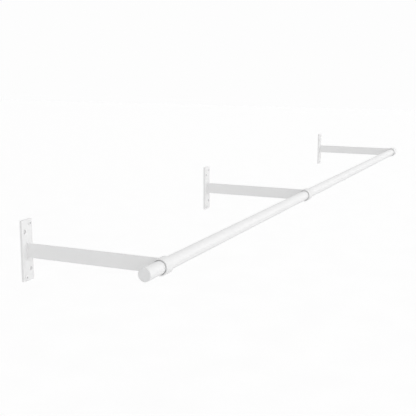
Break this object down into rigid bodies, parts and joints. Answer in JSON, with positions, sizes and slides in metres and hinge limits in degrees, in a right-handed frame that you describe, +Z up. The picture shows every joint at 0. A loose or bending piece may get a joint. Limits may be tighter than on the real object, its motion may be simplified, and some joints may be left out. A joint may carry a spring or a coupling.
{
  "type": "curtain rod with brackets",
  "caption": "Straight round rod on wall brackets: flat plates with wall screws, flat bar arms and welded ring collars, with push-in end caps.",
  "frame": {"origin": "centre of the middle wall plate's back face, on the wall", "axes": "+X along the rod towards the wider bracket gap, +Y into the wall, +Z up"},
  "size_m": [2.05, 0.311, 0.12],
  "materials": {
    "white_powder_coat": "satin powder coat on steel bar and tube, fine orange peel",
    "white_tube_coat": "smooth satin powder coat on steel tube",
    "white_plastic": "matt moulded polyethylene",
    "white_screw_enamel": "thin white enamel on steel pan-head screws",
    "zinc_steel": "bright zinc plate"
  },
  "bodies": {
    "left_bracket": {"wall_plate_left": "white_powder_coat", "support_arm_left": "white_powder_coat", "ring_collar_left": "white_powder_coat", "plate_weld_left": "white_powder_coat", "ring_weld_left": "white_powder_coat", "wall_screw_upper_left": "white_screw_enamel", "wall_screw_lower_left": "white_screw_enamel"},
    "left_screw": {"set_screw_left": "zinc_steel"},
    "middle_bracket": {"wall_plate_middle": "white_powder_coat", "support_arm_middle": "white_powder_coat", "ring_collar_middle": "white_powder_coat", "plate_weld_middle": "white_powder_coat", "ring_weld_middle": "white_powder_coat", "wall_screw_upper_middle": "white_screw_enamel", "wall_screw_lower_middle": "white_screw_enamel"},
    "middle_screw": {"set_screw_middle": "zinc_steel"},
    "right_bracket": {"wall_plate_right": "white_powder_coat", "support_arm_right": "white_powder_coat", "ring_collar_right": "white_powder_coat", "plate_weld_right": "white_powder_coat", "ring_weld_right": "white_powder_coat", "wall_screw_upper_right": "white_screw_enamel", "wall_screw_lower_right": "white_screw_enamel"},
    "right_screw": {"set_screw_right": "zinc_steel"},
    "rod": {"rod_tube": "white_tube_coat", "end_cap_left": "white_plastic", "end_cap_right": "white_plastic"}
  },
  "joints": [
    {"name": "rod_slide", "type": "slide", "parent": "middle_bracket", "child": "rod", "axis": [1, 0, 0], "range_m": [-0.015, 0.035]},
    {"name": "left_bracket_slide", "type": "slide", "parent": "middle_bracket", "child": "left_bracket", "axis": [1, 0, 0], "range_m": [-0.02, 0.79]},
    {"name": "right_bracket_slide", "type": "slide", "parent": "middle_bracket", "child": "right_bracket", "axis": [1, 0, 0], "range_m": [-1.07, 0.012]},
    {"name": "left_screw_travel", "type": "slide", "parent": "left_bracket", "child": "left_screw", "axis": [0, 0, -1], "range_m": [0, 0.0014]},
    {"name": "middle_screw_travel", "type": "slide", "parent": "middle_bracket", "child": "middle_screw", "axis": [0, 0, -1], "range_m": [0, 0.0014]},
    {"name": "right_screw_travel", "type": "slide", "parent": "right_bracket", "child": "right_screw", "axis": [0, 0, -1], "range_m": [0, 0.0014]}
  ]
}
